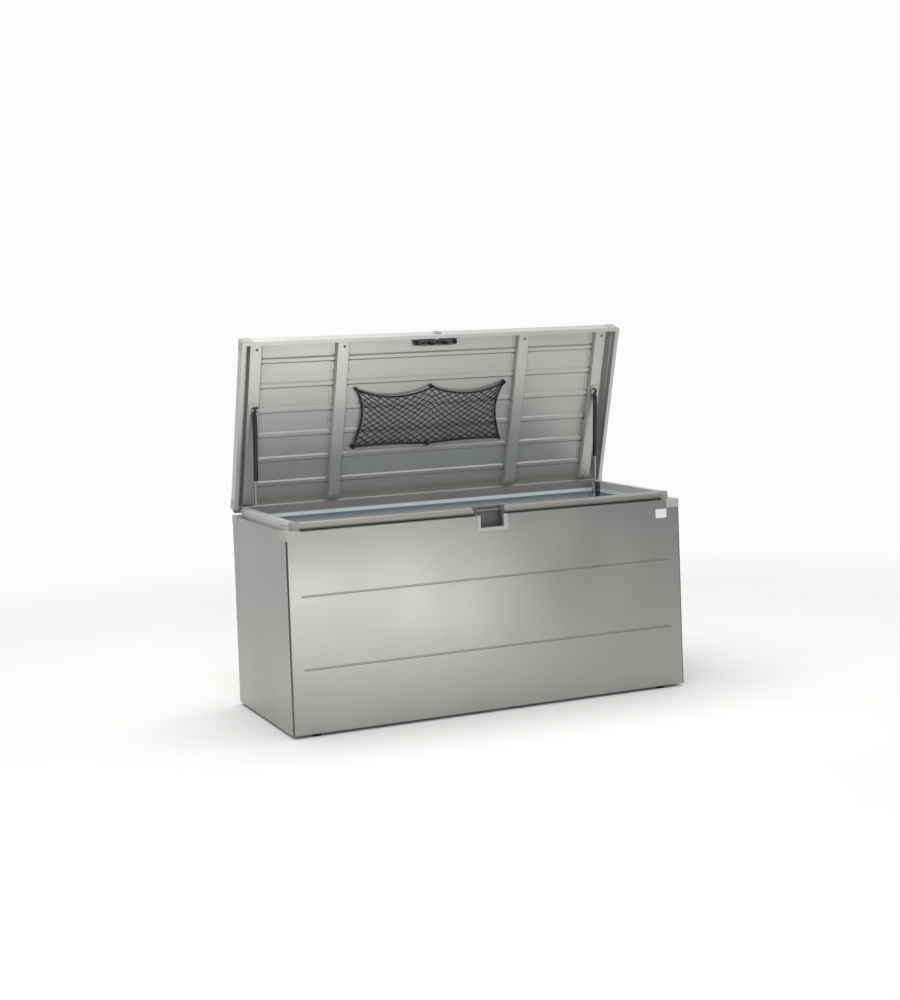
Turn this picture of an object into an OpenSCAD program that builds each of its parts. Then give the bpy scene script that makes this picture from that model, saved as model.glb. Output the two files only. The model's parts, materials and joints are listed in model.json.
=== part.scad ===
// Garden storage box: sheet steel body, rim, and a lid on two hinges and two gas struts.
// Millimetres. The origin is on the ground in the middle of the footprint, the front faces -Y.
// The lid is drawn at its open stop; its pieces are modelled closed and then swung open.

/* [Body] */
// Width across the side walls
body_w = 1600; // [1400:10:1800]
// Depth from the front wall to the back wall
body_d = 700; // [600:10:800]
// Height of the walls
wall_h = 730; // [620:10:820]
// Thickness of the wall and floor sheet
sheet_t = 1.5; // [1:0.1:2]
// Outer radius of the vertical corners
corner_r = 6; // [4:0.5:12]
// Length of the front and back walls' returns along the sides
return_l = 62; // [58:1:90]
// Width of the ledge folded in at the top of the walls
ledge_w = 54; // [50:1:56]
// Drop of the ledge's inner edge
ledge_drop = 15; // [8:1:20]
// Width of the hem folded in under the walls
hem_w = 15; // [8:1:15]

/* [Grooves] */
// Height of the lower groove above the foot of the wall
groove_low = 233; // [150:1:300]
// Height of the upper groove above the foot of the wall
groove_high = 497; // [400:1:560]
// Plain length left at each end of a groove
groove_end = 50; // [40:1:90]
// Width of a groove
groove_w = 7; // [4:0.5:12]
// Depth of a groove
groove_deep = 3; // [1:0.5:5]

/* [Base] */
// Ground clearance under the walls
foot_h = 12; // [8:1:25]
// Radius of a foot's pad
foot_r = 16; // [12:1:22]
// Distance of a foot's centre from the side wall's face
foot_in_x = 95; // [70:1:140]
// Distance of a foot's centre from the front or back face
foot_in_y = 27; // [26:1:60]
// Width of a base rail's web
rail_w = 50; // [40:1:70]
// Height of a base rail
rail_h = 23.5; // [15:0.5:40]
// Number of raised ribs along the floor
floor_ribs = 5; // [3:1:7]
// Height of a floor rib
floor_rib_h = 4; // [2:0.5:8]
// Width of a floor rib
floor_rib_w = 24; // [16:1:40]
// Leg of a corner post along the side wall
post_side = 78; // [70:1:95]
// Leg of a corner post along the front or back wall
post_front = 45; // [30:1:60]

/* [Rim] */
// Distance of the rim from the outer faces
rim_in = 30; // [26:1:30]
// Width of a rim bar
rim_w = 24; // [20:1:24]
// Height of the rim above the ledge
rim_h = 30; // [24:1:31]
// Wall of the rim bars
rim_wall = 1.8; // [1.2:0.1:2.5]
// Length of the rim's corner blocks
rim_corner = 32; // [28:1:40]
// Radius of the front bars' rounded face
bead_r = 11; // [6:0.5:11.5]

/* [Corner caps] */
// Length of a body cap along the front or back
cap_front = 57; // [40:1:70]
// Length of a body cap along the side
cap_side = 75; // [50:1:90]
// Height of a body cap on the wall
cap_h = 30; // [20:1:40]
// Length of each leg of a lid cap
lid_cap = 42; // [30:1:60]
// Wall of all the caps
cap_t = 1.5; // [1:0.1:1.5]

/* [Grip] */
// Width of the finger recess
grip_w = 96; // [80:1:130]
// Height of the finger recess below the ledge
grip_h = 45; // [30:1:70]
// Depth of the finger recess
grip_deep = 50; // [35:1:50]
// Width of the recess's trim
grip_trim = 14; // [8:1:20]
// Wall of the recess's liner
grip_wall = 2; // [1.5:0.5:3]

/* [Label] */
// Width of the blank label plate
label_w = 48; // [30:1:80]
// Height of the blank label plate
label_h = 35; // [20:1:60]

/* [Lid] */
// Opening angle of the lid at its stop
lid_open = 72; // [60:1:85]
// Height of the lid's flanges
lid_h = 54; // [50:1:70]
// Thickness of the lid sheet
lid_t = 1.2; // [0.8:0.1:1.5]
// Gap between the closed lid and the ledge
lid_gap = 2; // [2:0.5:6]
// Gap between the closed lid's back flange and the ledge
lid_back_gap = 10; // [8:0.5:14]
// Radius of the lid's top edges
lid_edge_r = 8; // [4:0.5:12]
// Width of the lip folded in under the flanges
lip_w = 15; // [8:1:20]
// Number of pressed beads across the lid
beads = 6; // [3:1:6]
// Distance between the beads
bead_pitch = 102; // [80:1:102]
// Distance of the first bead from the hinge axis
bead_first = 85; // [60:1:110]
// Width of a bead
bead_w = 22; // [14:1:30]
// Depth of a bead
bead_deep = 5; // [3:0.5:7]
// Distance of the beads' ends from the lid's sides
bead_end = 80; // [75:1:120]

/* [Stiffeners] */
// Distance of the inner stiffeners from the middle
stiff_in = 385; // [300:5:450]
// Distance of the outer stiffeners from the lid's sides
stiff_out = 65; // [63:1:70]
// Height of a stiffener
stiff_h = 20; // [14:1:20]
// Half width of a stiffener's crown
stiff_crown = 22; // [18:1:26]
// Half width of a stiffener where it meets the lid
stiff_root = 30; // [27:1:34]
// Width of a stiffener's side flange
stiff_flange = 10; // [8:1:14]

/* [Hinges] */
// Distance of the hinge axis from the back face
axis_in = 10; // [9:0.5:12]
// Height of the hinge axis above the ledge
axis_up = 25; // [24:0.5:28]
// Radius of the hinge pins
pin_r = 3; // [2:0.25:4]
// Half length of a hinge's barrel
barrel_half = 23.5; // [18:0.5:26]
// Running clearance round a pin
pin_play = 0.05; // [0.02:0.01:0.1]

/* [Gas struts] */
// Distance of the lid stud from the hinge axis along the lid
stud_reach = 407; // [380:1:420]
// Distance of the wall stud in front of the hinge axis
seat_reach = 90; // [70:1:120]
// Distance of the wall stud below the hinge axis
seat_drop = 72; // [60:1:95]
// Length of a strut's tube
tube_l = 256; // [240:1:270]
// Radius of a strut's tube
tube_r = 9; // [7:0.5:9]
// Radius of a strut's rod
rod_r = 4; // [3:0.5:5]

/* [Lock] */
// Radius of the lock barrel
lock_r = 10; // [8:0.5:11]
// Travel of the latch slider
latch_travel = 8; // [6:0.5:9]

/* [Net] */
// Half width of the net pocket
net_half = 318; // [250:1:330]
// Distance of the net's top edge from the hinge axis
net_top = 462; // [420:1:500]
// Distance of the net's bottom edge from the hinge axis
net_low = 220; // [216:1:260]

/* [Hidden] */

half_w = body_w / 2;
half_d = body_d / 2;
wall_z = foot_h;
ledge_z = wall_z + wall_h;
rim_z = ledge_z + rim_h;
floor_z = wall_z + sheet_t + rail_h;
foot_x = half_w - foot_in_x;
foot_y = half_d - foot_in_y;
foot_pad = 5;
foot_neck_r = 9;
foot_stud_r = 4;
foot_nut_r = 6.5;
foot_nut_h = 4;
rail_t = 2;
rail_flange = 12;
rib_end = 60;
rib_slope = 5;
rib_side = 80;
rim_x = half_w - rim_in;
rim_y = half_d - rim_in;
slot_first = 45;
slot_pitch = 30;
slot_l = 12;
slot_w = 5;
inner_x = rim_x - rim_w;
inner_y = rim_y - rim_w;
block_r = 6;
proud = 0.6;
trim_t = 2;
cover_t = 1.2;

lid_z = ledge_z + lid_gap;
lid_top = lid_z + lid_h;
lid_under = lid_top - lid_t;
lid_back_z = ledge_z + lid_back_gap;
lid_corner_r = 10;
back_cut = 15;
axis_y = half_d - axis_in;
axis_z = ledge_z + axis_up;
crown_z = lid_under - stiff_h;
stiff_x = half_w - stiff_out;
crown_hole_in = 43;
crown_hole_r = 4.5;
hinge_x = stiff_x;
label_t = 0.8;
bracket_t = 2.5;
leaf_t = 3;
ear_t = 4;
ear_gap = 0.5;
ear_r = 7;
barrel_r = 5.5;
pin_head = 2;

strut_x = inner_x - 14;
stud_drop = 11;
stud_y = axis_y - stud_reach;
stud_z = crown_z - stud_drop;
seat_y = axis_y - seat_reach;
seat_z = axis_z - seat_drop;
// Lid stud with the lid open
top_y = axis_y + (stud_y - axis_y) * cos(lid_open) + (stud_z - axis_z) * sin(lid_open);
top_z = axis_z - (stud_y - axis_y) * sin(lid_open) + (stud_z - axis_z) * cos(lid_open);
strut_l = sqrt(pow(seat_y - top_y, 2) + pow(seat_z - top_z, 2));
strut_tilt = atan2(top_y - seat_y, seat_z - top_z);
eye_r = 8;
eye_half = 5;
ear_out = 12;
stud_collar_r = 6;
neck_l = 18;
neck_r = 4.8;
tube_wall = 1.5;
seat_boss_r = 14;
eye_collar_r = 5.5;
plate_t = 3;
seat_gap = 0.4;
slide_gap = 0.3;

grip_half = grip_w / 2;
liner_half = grip_half + grip_wall;
rim_cut = grip_half + grip_trim + 2;
hook_x = 30;
hook_half = 4;
hook_toe = 6;
hook_gap = 1.5;
hook_drop = 7;
hook_y = -(rim_y - 12);
strike_z = rim_z - 14;
strike_t = 2.5;
lock_z = ledge_z + 31.5;
crank_r = latch_travel / 2 / sin(45);
slider_z = lock_z + crank_r - 2.2;
slider_t = 4.5;
lock_l = 24;
plug_r = lock_r - 3;
crank_pin_r = 2;
crank_pin_l = 14;
bumper_x = 81;
bumper_r = 8;
e = 0.01;

// ---- shared shapes ----

// Outline in (y, z), drawn out along X
module along_x(x0, x1) {
  translate([x0, 0, 0]) rotate([90, 0, 90]) linear_extrude(x1 - x0) children();
}

// Outline in (x, z), drawn out along Y
module along_y(y0, y1) {
  translate([0, y1, 0]) rotate([90, 0, 0]) linear_extrude(y1 - y0) children();
}

// Outline in (x, y), drawn out along Z
module along_z(z0, z1) {
  translate([0, 0, z0]) linear_extrude(z1 - z0) children();
}

module block(x, y, z) {
  translate([x[0], y[0], z[0]]) cube([x[1] - x[0], y[1] - y[0], z[1] - z[0]]);
}

module rod_x(x0, x1, y, z, r) {
  translate([x0, y, z]) rotate([0, 90, 0]) cylinder(r = r, h = x1 - x0, $fn = 32);
}

module rod_y(y0, y1, x, z, r) {
  translate([x, y0, z]) rotate([-90, 0, 0]) cylinder(r = r, h = y1 - y0, $fn = 32);
}

module rod_z(z0, z1, x, y, r) {
  translate([x, y, z0]) cylinder(r = r, h = z1 - z0, $fn = 32);
}

module round_rect(w, d, r) {
  square([w - 2 * r, d], center = true);
  square([w, d - 2 * r], center = true);
  for (x = [-1, 1])
    for (y = [-1, 1])
      translate([x * (w / 2 - r), y * (d / 2 - r)]) circle(r = r, $fn = 32);
}

// The body's outline, moved in by i
module body_plan(i) {
  round_rect(body_w - 2 * i, body_d - 2 * i, max(corner_r - i, 0.5));
}

// Mirrored to the right for s = 1, as drawn for s = -1
module side(s) {
  mirror([s > 0 ? 1 : 0, 0, 0]) children();
}

module back(b) {
  mirror([0, b ? 1 : 0, 0]) children();
}

// Swings what is drawn closed to the open stop
module on_lid() {
  translate([0, axis_y, axis_z])
    rotate([-lid_open, 0, 0])
      translate([0, -axis_y, -axis_z]) children();
}

// ---- walls and base ----

module wall_tube() {
  difference() {
    along_z(wall_z, ledge_z) body_plan(0);
    along_z(wall_z + sheet_t, ledge_z - sheet_t) body_plan(sheet_t);
    along_z(wall_z - 1, wall_z + sheet_t + 1) body_plan(hem_w);
    along_z(ledge_z - sheet_t - 1, ledge_z + 1) body_plan(ledge_w);
  }
}

// Groove outline in (y, z), grown by g towards the inside of the box
module groove_outline(z, g) {
  y = -half_d + g;
  out = g > 0 ? 0 : 1;
  polygon([
    [y - out, z - groove_w / 2 - g],
    [y, z - groove_w / 2 - g],
    [y + groove_deep, z - groove_w / 5 - g / 2],
    [y + groove_deep, z + groove_w / 5 + g / 2],
    [y, z + groove_w / 2 + g],
    [y - out, z + groove_w / 2 + g]
  ]);
}

module grooved_wall() {
  run = half_w - groove_end;
  difference() {
    union() {
      intersection() {
        wall_tube();
        block([-body_w, body_w], [-body_d, -half_d + return_l], [0, 2 * ledge_z]);
      }
      block([-inner_x + 2, inner_x - 2], [-half_d + ledge_w - sheet_t, -half_d + ledge_w],
        [ledge_z - ledge_drop, ledge_z]);
      for (h = [groove_low, groove_high])
        along_x(-run - sheet_t, run + sheet_t) groove_outline(wall_z + h, sheet_t - e);
    }
    for (h = [groove_low, groove_high])
      along_x(-run, run) groove_outline(wall_z + h, 0);
  }
}

module front_wall() {
  color("#a9a8a4") difference() {
    grooved_wall();
    block([-liner_half, liner_half], [-half_d - 1, -half_d + grip_deep + grip_wall],
      [ledge_z - grip_h - grip_wall, ledge_z + 1]);
  }
}

module back_wall() {
  color("#a9a8a4") back(true) grooved_wall();
}

module side_wall() {
  run = half_d - return_l;
  color("#a3a29e") union() {
    intersection() {
      wall_tube();
      block([-body_w, -half_w + ledge_w + e], [-run, run], [0, 2 * ledge_z]);
    }
    block([-half_w + ledge_w - sheet_t, -half_w + ledge_w], [-run, run],
      [ledge_z - ledge_drop, ledge_z]);
  }
}

module floor_rib(y) {
  x = half_w - rib_end;
  w = floor_rib_w / 2;
  crown = w - rib_slope;
  difference() {
    along_x(-x, x) polygon([[y - w, 0], [y - crown, floor_rib_h + sheet_t],
      [y + crown, floor_rib_h + sheet_t], [y + w, 0]]);
    along_x(-x + sheet_t, x - sheet_t) polygon([[y - w + sheet_t, -1], [y - crown + sheet_t, floor_rib_h],
      [y + crown - sheet_t, floor_rib_h], [y + w - sheet_t, -1]]);
  }
}

module floor() {
  pitch = (body_d - 2 * rib_side) / (floor_ribs - 1);
  color("#9fa3a4") translate([0, 0, floor_z]) {
    along_z(0, sheet_t) difference() {
      body_plan(sheet_t);
      for (i = [0 : floor_ribs - 1])
        translate([0, (i - (floor_ribs - 1) / 2) * pitch])
          square([body_w - 2 * (rib_end + sheet_t), floor_rib_w - 2 * sheet_t], center = true);
    }
    for (i = [0 : floor_ribs - 1]) floor_rib((i - (floor_ribs - 1) / 2) * pitch);
  }
}

module base_rails() {
  z = wall_z + sheet_t;
  w = rail_w / 2;
  t = rail_t;
  f = rail_flange;
  color("#8f9394") for (x = [-foot_x, 0, foot_x])
    difference() {
      along_y(-half_d + sheet_t, half_d - sheet_t) translate([x, z]) polygon([
        [-w, 0], [w, 0], [w, rail_h - t], [w + f, rail_h - t], [w + f, rail_h], [w - t, rail_h],
        [w - t, t], [-w + t, t], [-w + t, rail_h], [-w - f, rail_h], [-w - f, rail_h - t],
        [-w, rail_h - t]
      ]);
      if (x != 0)
        for (y = [-foot_y, foot_y]) rod_z(z - 1, z + t + 1, x, y, foot_stud_r + 0.1);
    }
}

// Foot at the front left: pad, collar and the stud through the rail's web
module foot() {
  top = wall_z + sheet_t;
  color("#1c1c1d") {
    rod_z(0, foot_pad, -foot_x, -foot_y, foot_r);
    rod_z(foot_pad - e, top, -foot_x, -foot_y, foot_neck_r);
    rod_z(top - e, top + rail_t + foot_nut_h + 1, -foot_x, -foot_y, foot_stud_r);
    rod_z(top + rail_t, top + rail_t + foot_nut_h, -foot_x, -foot_y, foot_nut_r);
  }
}

module foot_fl() { foot(); }
module foot_fr() { side(1) foot(); }
module foot_bl() { back(true) foot(); }
module foot_br() { back(true) side(1) foot(); }

module post() {
  color("#8f9394") intersection() {
    along_z(floor_z + sheet_t, ledge_z - sheet_t) difference() {
      body_plan(sheet_t);
      body_plan(2 * sheet_t);
    }
    union() {
      block([-half_w, -half_w + sheet_t + post_front], [-half_d, -half_d + 2 * corner_r], [0, ledge_z]);
      block([-half_w, -half_w + 2 * corner_r], [-half_d, -half_d + sheet_t + post_side], [0, ledge_z]);
    }
  }
}

module post_fl() { post(); }
module post_fr() { side(1) post(); }
module post_bl() { back(true) post(); }
module post_br() { back(true) side(1) post(); }

// Cap over a top corner; the back ones leave the ledge free for the hinge brackets
module body_cap(at_back) {
  keep_y = at_back ? half_d + 1 : rim_y;
  color("#b9bab7") difference() {
    intersection() {
      along_z(ledge_z - cap_h, ledge_z + cap_t) body_plan(-cap_t);
      union() {
        block([-body_w, -half_w + cap_front], [-body_d, -half_d + rim_in], [0, 2 * ledge_z]);
        block([-body_w, -half_w + rim_in], [-body_d, -half_d + cap_side], [0, 2 * ledge_z]);
      }
    }
    along_z(ledge_z - cap_h - 1, ledge_z) body_plan(0);
    block([-rim_x, rim_x], [-keep_y, keep_y], [ledge_z - 1, ledge_z + cap_t + 1]);
  }
}

module body_cap_fl() { body_cap(false); }
module body_cap_fr() { side(1) body_cap(false); }
module body_cap_bl() { back(true) body_cap(true); }
module body_cap_br() { back(true) side(1) body_cap(true); }

// ---- rim ----

// Rounded front bar's outline in (y, z), moved in by i
module bead_outline(i) {
  y = -rim_y;
  translate([y + bead_r, ledge_z + bead_r]) circle(r = bead_r - i, $fn = 48);
  translate([y + bead_r, rim_z - bead_r]) circle(r = bead_r - i, $fn = 48);
  translate([y + i, ledge_z + bead_r]) square([bead_r, rim_h - 2 * bead_r]);
  translate([y + bead_r, ledge_z + i]) square([rim_w - bead_r - i, rim_h - 2 * i]);
}

module rim_front() {
  color("#a5a5a1") along_x(-rim_x + rim_corner, -rim_cut) difference() {
    bead_outline(0);
    bead_outline(rim_wall);
  }
}

module bar_outline(i) {
  translate([-rim_x + i, ledge_z + i]) square([rim_w - 2 * i, rim_h - 2 * i]);
}

// Side bar with three slots near the front and a hole near the back
module rim_side() {
  color("#c3c4c1") difference() {
    along_y(-rim_y + rim_corner, rim_y) difference() {
      bar_outline(0);
      bar_outline(rim_wall);
    }
    for (i = [0 : 2]) {
      y = -rim_y + slot_first + i * slot_pitch;
      block([-rim_x - 1, -rim_x + rim_wall + 1], [y, y + slot_l], [rim_z - 18, rim_z - 18 + slot_w]);
    }
    rod_x(-rim_x - 1, -rim_x + rim_wall + 1, rim_y - 90, rim_z - rim_h / 2, 4);
  }
}

module rim_left() { rim_side(); }
module rim_right() { side(1) rim_side(); }
module rim_front_left() { rim_front(); }
module rim_front_right() { side(1) rim_front(); }

module rim_back() {
  color("#a5a5a1") along_x(-inner_x, inner_x) difference() {
    translate([inner_y, ledge_z]) square([rim_w, rim_h]);
    translate([inner_y + rim_wall, ledge_z + rim_wall])
      square([rim_w - 2 * rim_wall, rim_h - 2 * rim_wall]);
  }
}

module rim_corner_block() {
  r = block_r;
  color("#9b9c99") along_z(ledge_z, rim_z + proud) difference() {
    union() {
      translate([-rim_x + r, -rim_y]) square([rim_corner - r, rim_corner]);
      translate([-rim_x, -rim_y + r]) square([rim_corner, rim_corner - r]);
      translate([-rim_x + r, -rim_y + r]) circle(r = r, $fn = 32);
    }
    translate([-inner_x, -inner_y]) square(rim_corner);
  }
}

module rim_corner_left() { rim_corner_block(); }
module rim_corner_right() { side(1) rim_corner_block(); }

// ---- grip, strike and label ----

module grip_liner() {
  low = ledge_z - grip_h;
  face = -half_d;
  rear = face + grip_deep;
  color("#c4c4c0") difference() {
    union() {
      // trim on the wall's face
      block([-grip_half - grip_trim, grip_half + grip_trim], [face - trim_t, face],
        [low - grip_trim + 2, ledge_z + cover_t]);
      // pocket through the wall
      block([-liner_half, liner_half], [face - e, rear + grip_wall], [low - grip_wall, ledge_z + e]);
      // cover on the ledge
      block([-rim_cut + 2, rim_cut - 2], [face - trim_t, -rim_y + e], [ledge_z, ledge_z + cover_t]);
      // cheeks between the rim's cut ends
      block([-rim_cut, -grip_half - grip_wall], [-rim_y, -inner_y], [ledge_z, rim_z + proud]);
      block([grip_half + grip_wall, rim_cut], [-rim_y, -inner_y], [ledge_z, rim_z + proud]);
      // back wall of the pocket
      block([-rim_cut + e, rim_cut - e], [rear, rear + grip_wall], [ledge_z - e, rim_z]);
    }
    block([-grip_half, grip_half], [face - trim_t - 1, rear], [low, rim_z + 1]);
    block([-liner_half, liner_half], [-rim_y + 1, rear - 0.5], [strike_z - e, rim_z + 1]);
    block([-liner_half, liner_half], [rear - 1, rear + e], [strike_z - e, strike_z + strike_t]);
  }
}

// Plate that the latch hooks reach under
module strike_plate() {
  color("#6f7273") difference() {
    block([-liner_half, liner_half], [-rim_y + 1.5, -half_d + grip_deep - 0.6],
      [strike_z, strike_z + strike_t]);
    for (x = [-hook_x, hook_x])
      block([x - hook_half - hook_gap, x + hook_half + latch_travel + 1], [hook_y - 5, hook_y + 5],
        [strike_z - 1, strike_z + strike_t + 1]);
  }
}

module label_plate() {
  x = half_w - cap_front;
  z = ledge_z - cap_h - label_t * 5;
  color("#e6e8e6") block([x - label_w, x], [-half_d - label_t, -half_d], [z - label_h, z]);
}

// ---- hinges ----

// Bracket on the ledge with two ears for the pin
module hinge_bracket() {
  y0 = rim_y + 2;
  y1 = axis_y + ear_r - 1;
  color("#c3c4c1") difference() {
    union() {
 
            block([-hinge_x - barrel_half - ear_gap - ear_t - 1.5, -hinge_x + barrel_half + ear_gap + ear_t + 1.5],
        [y0, y1], [ledge_z, ledge_z + bracket_t]);
      for (x = [-hinge_x - barrel_half - ear_gap - ear_t, -hinge_x + barrel_half + ear_gap]) {
        along_x(x, x + ear_t)
          polygon([[y0, ledge_z + 1], [y1, ledge_z + 1], [axis_y + ear_r - 1, axis_z],
            [axis_y - ear_r + 1, axis_z + 2]]);
        rod_x(x, x + ear_t, axis_y, axis_z, ear_r);
      }
    }
    rod_x(-hinge_x - 2 * barrel_half, -hinge_x + 2 * barrel_half, axis_y, axis_z, pin_r);
  }
}

module hinge_bracket_left() { hinge_bracket(); }
module hinge_bracket_right() { side(1) hinge_bracket(); }

module hinge_pins() {
  reach = barrel_half + ear_gap + ear_t;
  color("#d5d6d7") for (s = [-1, 1]) side(s) {
    rod_x(-hinge_x - reach - 0.5, -hinge_x + reach + pin_head, axis_y, axis_z, pin_r);
    rod_x(-hinge_x - reach - pin_head, -hinge_x - reach, axis_y, axis_z, pin_r + pin_head);
  }
}

module hinge_leaf() {
  inner = half_d - lid_t;
  color("#c3c4c1") on_lid() difference() {
    union() {
      rod_x(-hinge_x - barrel_half, -hinge_x + barrel_half, axis_y, axis_z, barrel_r);
      block([-hinge_x - barrel_half, -hinge_x + barrel_half], [axis_y, inner - 1],
        [axis_z - 4, axis_z + 1]);
      block([-hinge_x - barrel_half, -hinge_x + barrel_half], [inner - leaf_t, inner],
        [axis_z - 4, lid_top - 16]);
    }
    rod_x(-hinge_x - body_w, -hinge_x + body_w, axis_y, axis_z, pin_r + pin_play);
  }
}

module hinge_leaf_left() { hinge_leaf(); }
module hinge_leaf_right() { side(1) hinge_leaf(); }

// ---- lid ----

// The lid's outline in plan, moved in by i
module lid_plan(i) {
  round_rect(body_w - 2 * i, body_d - 2 * i, max(lid_corner_r - i, 0.5));
}

// Flange outline of half width h with a rounded top, moved in by i
module lid_edge(h, i) {
  r = lid_edge_r - i;
  translate([-h + i, lid_z - 1]) square([2 * (h - i), lid_h + 1 - lid_edge_r]);
  translate([-h + lid_edge_r, lid_z - 1]) square([2 * (h - lid_edge_r), lid_h + 1 - i]);
  for (x = [-1, 1])
    translate([x * (h - lid_edge_r), lid_top - lid_edge_r]) circle(r = r, $fn = 32);
}

// Solid block of the closed lid's shape, moved in by i and from z up
module lid_block(i, z) {
  intersection() {
    along_z(z, lid_top - i) lid_plan(i);
    along_y(-body_d, body_d) lid_edge(half_w, i);
    along_x(-body_w, body_w) lid_edge(half_d, i);
  }
}

// Bead outline in (y, z) at the lid sheet, grown by g towards the inside
module bead_press(y, g) {
  top = lid_top - (g > 0 ? lid_t / 2 : -1);
  polygon([
    [y - bead_w / 2 - g, top],
    [y - bead_w / 2 - g, lid_top - g],
    [y - bead_w / 2 + 5 - g / 2, lid_top - bead_deep - g],
    [y + bead_w / 2 - 5 + g / 2, lid_top - bead_deep - g],
    [y + bead_w / 2 + g, lid_top - g],
    [y + bead_w / 2 + g, top]
  ]);
}

// What is cut from the lid's back edge so that it clears the ledge and the brackets' ears
module back_clearance() {
  notch = barrel_half + ear_t + 3.5;
  block([-body_w, body_w], [half_d - back_cut, body_d], [0, lid_back_z]);
  for (x = [-hinge_x, hinge_x])
    block([x - notch, x + notch], [half_d - back_cut, body_d], [0, axis_z + 11]);
}

module lid_shell() {
  run = half_w - bead_end;
  color("#b3b3af") on_lid() difference() {
    union() {
      difference() {
        lid_block(0, lid_z);
        lid_block(lid_t, lid_z - 0.5);
      }
      along_z(lid_z, lid_z + lid_t) difference() {
        lid_plan(lid_t / 2);
        lid_plan(lip_w);
      }
      for (i = [0 : beads - 1])
        along_x(-run - lid_t, run + lid_t) bead_press(axis_y - bead_first - i * bead_pitch, lid_t);
    }
    for (i = [0 : beads - 1])
      along_x(-run, run) bead_press(axis_y - bead_first - i * bead_pitch, 0);
    back_clearance();
    rod_y(-half_d - 1, -half_d + 3, 0, lock_z, lock_r + 0.2);
  }
}

// Hat-shaped stiffener across the lid at x, notched over each bead
module stiffener(x) {
  t = lid_t;
  y0 = -half_d + lid_edge_r + 1;
  y1 = half_d - 20;
  notch = bead_w / 2 + lid_t + 2;
  color("#bdbdb9") on_lid() difference() {
    along_y(y0, y1) translate([x, 0]) difference() {
      polygon([
        [-stiff_root - stiff_flange, lid_under], [-stiff_root - stiff_flange, lid_under - t],
        [-stiff_root, lid_under - t], [-stiff_crown, crown_z], [stiff_crown, crown_z],
        [stiff_root, lid_under - t], [stiff_root + stiff_flange, lid_under - t],
        [stiff_root + stiff_flange, lid_under]
      ]);
      polygon([
        [-stiff_root + t, lid_under + 1], [-stiff_root + t, lid_under - t], [-stiff_crown + t, crown_z + t],
        [stiff_crown - t, crown_z + t], [stiff_root - t, lid_under - t], [stiff_root - t, lid_under + 1]
      ]);
    }
    for (i = [0 : beads - 1]) {
      y = axis_y - bead_first - i * bead_pitch;
      block([x - 2 * stiff_root, x + 2 * stiff_root], [y - notch, y + notch],
        [lid_under - bead_deep - 2, lid_under + 1]);
    }
    rod_z(crown_z - 1, crown_z + 4, x + 4, -half_d + crown_hole_in, crown_hole_r);
    rod_z(crown_z - 1, crown_z + 4, x + 4, half_d - crown_hole_in, crown_hole_r * 2 / 3);
  }
}

module stiffener_1() { stiffener(-stiff_x); }
module stiffener_2() { stiffener(-stiff_in); }
module stiffener_3() { stiffener(stiff_in); }
module stiffener_4() { stiffener(stiff_x); }

module lid_corner(at_back) {
  color("#c9cac8") difference() {
    intersection() {
      lid_block(-cap_t, lid_z);
      block([-body_w, -half_w + lid_cap], [-body_d, -half_d + lid_cap], [0, 2 * lid_top]);
    }
    lid_block(0, lid_z - 0.5);
    if (at_back) back(true) back_clearance();
  }
}

module lid_cap_fl() { on_lid() lid_corner(false); }
module lid_cap_fr() { on_lid() side(1) lid_corner(false); }
module lid_cap_bl() { on_lid() back(true) lid_corner(true); }
module lid_cap_br() { on_lid() back(true) side(1) lid_corner(true); }

// ---- lock ----

module lock_barrel() {
  color("#8a8d8f") on_lid() difference() {
    union() {
      rod_y(-half_d - 3, -half_d - 0.3, 0, lock_z, lock_r + 4);
      rod_y(-half_d - 1, -half_d + lock_l, 0, lock_z, lock_r);
      rod_y(-half_d + lid_t, -half_d + lid_t + 4, 0, lock_z, lock_r + 3);
    }
    rod_y(-half_d - 4, -half_d + lock_l + 1, 0, lock_z, plug_r + pin_play);
  }
}

// Plug with a key slot, a cam and the crank pin that drives the slider
module lock_plug() {
  y = -half_d + lock_l + 0.5;
  color("#b8babc") on_lid() difference() {
    union() {
      rod_y(-half_d - 2.5, y + 2, 0, lock_z, plug_r);
      rod_y(y, y + 2, 0, lock_z, crank_r + 2.5);
      rod_y(y, y + crank_pin_l, -latch_travel / 2, lock_z + latch_travel / 2, crank_pin_r);
    }
    block([-0.8, 0.8], [-half_d - 3, -half_d + 14], [lock_z - 4.5, lock_z + 4.5]);
  }
}

module latch_housing() {
  y0 = -rim_y;
  y1 = -inner_y;
  top = slider_z + slider_t + slide_gap;
  low = slider_z - slide_gap;
  color("#2f3133") on_lid() difference() {
    union() {
      block([-90, 90], [y0, y1], [top, lid_under]);
      for (y = [y0, y1 - 3.5]) block([-70, 70], [y, y + 3.5], [low - 1.2, top + e]);
      for (y = [y0, y1 - 6.5]) block([-70, 70], [y, y + 6.5], [low - 1.2, low]);
    }
    block([-10, 10], [y0 - 1, y0 + 12], [slider_z - 3, top]);
  }
}

// Slider with two hooks that point down through the strike's slots
module latch_slider() {
  pin_x = -latch_travel / 2;
  color("#232425") on_lid() difference() {
    union() {
      block([-62, 50], [-rim_y + 4, -inner_y - 4], [slider_z, slider_z + slider_t]);
      block([-56, -44], [-rim_y + 7.5, -inner_y - 7.5], [slider_z - 3, slider_z + e]);
      for (x = [-hook_x, hook_x]) {
        block([x - hook_half, x + hook_half], [hook_y - 2, hook_y + 2],
          [strike_z - hook_drop, slider_z + e]);
        block([x - hook_half, x + hook_half + hook_toe], [hook_y - 2, hook_y + 2],
          [strike_z - hook_drop, strike_z - 2.5]);
      }
    }
    block([pin_x - crank_pin_r - 0.5, pin_x + crank_pin_r + 0.5], [-rim_y + 3, -rim_y + 12],
      [slider_z - 1, slider_z + slider_t + 1]);
  }
}

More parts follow.
